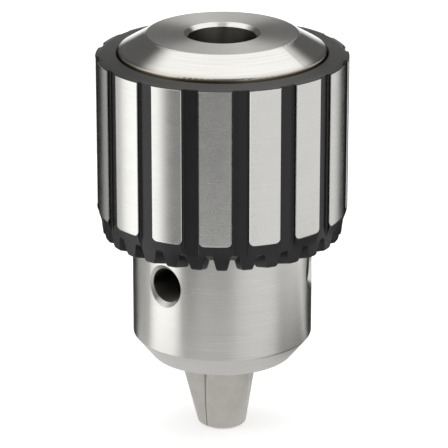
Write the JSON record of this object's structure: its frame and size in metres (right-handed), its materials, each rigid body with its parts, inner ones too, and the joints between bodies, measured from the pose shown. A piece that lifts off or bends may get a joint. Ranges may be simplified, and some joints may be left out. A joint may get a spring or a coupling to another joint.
{
  "type": "keyed drill chuck",
  "caption": "Keyed three-jaw drill chuck with a tapered arbor socket, a fluted sleeve with bevel key teeth, and a split nut that drives the inclined jaws.",
  "frame": {"origin": "centre of the flat rear face, on the chuck's axis", "axes": "+Z along the chuck's axis, out of the rear face where the arbor enters. The jaws point to -Z. Key pilot hole 1 faces -Y, and jaw 2 lies on +Y."},
  "size_m": [0.058, 0.058, 0.0958],
  "materials": {
    "body_steel": "turned and ground bright steel, satin",
    "sleeve_steel": "black oxide, with the lands ground bright",
    "nut_steel": "machined steel, oiled",
    "jaw_steel": "hardened and ground steel, satin"
  },
  "bodies": {
    "body": {"chuck_body": "body_steel"},
    "sleeve": {"toothed_sleeve": "sleeve_steel", "split_nut_half_a": "nut_steel", "split_nut_half_b": "nut_steel"},
    "jaw_1": {"jaw_1": "jaw_steel"},
    "jaw_2": {"jaw_2": "jaw_steel"},
    "jaw_3": {"jaw_3": "jaw_steel"}
  },
  "joints": [
    {"name": "sleeve_turn", "type": "hinge", "parent": "body", "child": "sleeve", "pos_m": [0, 0, -0.0395], "axis": [0, 0, -1], "range_deg": [0, 3493.2]},
    {"name": "jaw_1_slide", "type": "slide", "parent": "body", "child": "jaw_1", "axis": [0.2241, -0.1294, 0.9659], "range_m": [0, 0.02512]},
    {"name": "jaw_2_slide", "type": "slide", "parent": "body", "child": "jaw_2", "axis": [0, 0.2588, 0.9659], "range_m": [0, 0.02512]},
    {"name": "jaw_3_slide", "type": "slide", "parent": "body", "child": "jaw_3", "axis": [-0.2241, -0.1294, 0.9659], "range_m": [0, 0.02512]}
  ],
  "couplings": [
    {"joint": "jaw_1_slide", "follows": "sleeve_turn", "m_per_rad": 0.00041192},
    {"joint": "jaw_2_slide", "follows": "sleeve_turn", "m_per_rad": 0.00041192},
    {"joint": "jaw_3_slide", "follows": "sleeve_turn", "m_per_rad": 0.00041192}
  ]
}
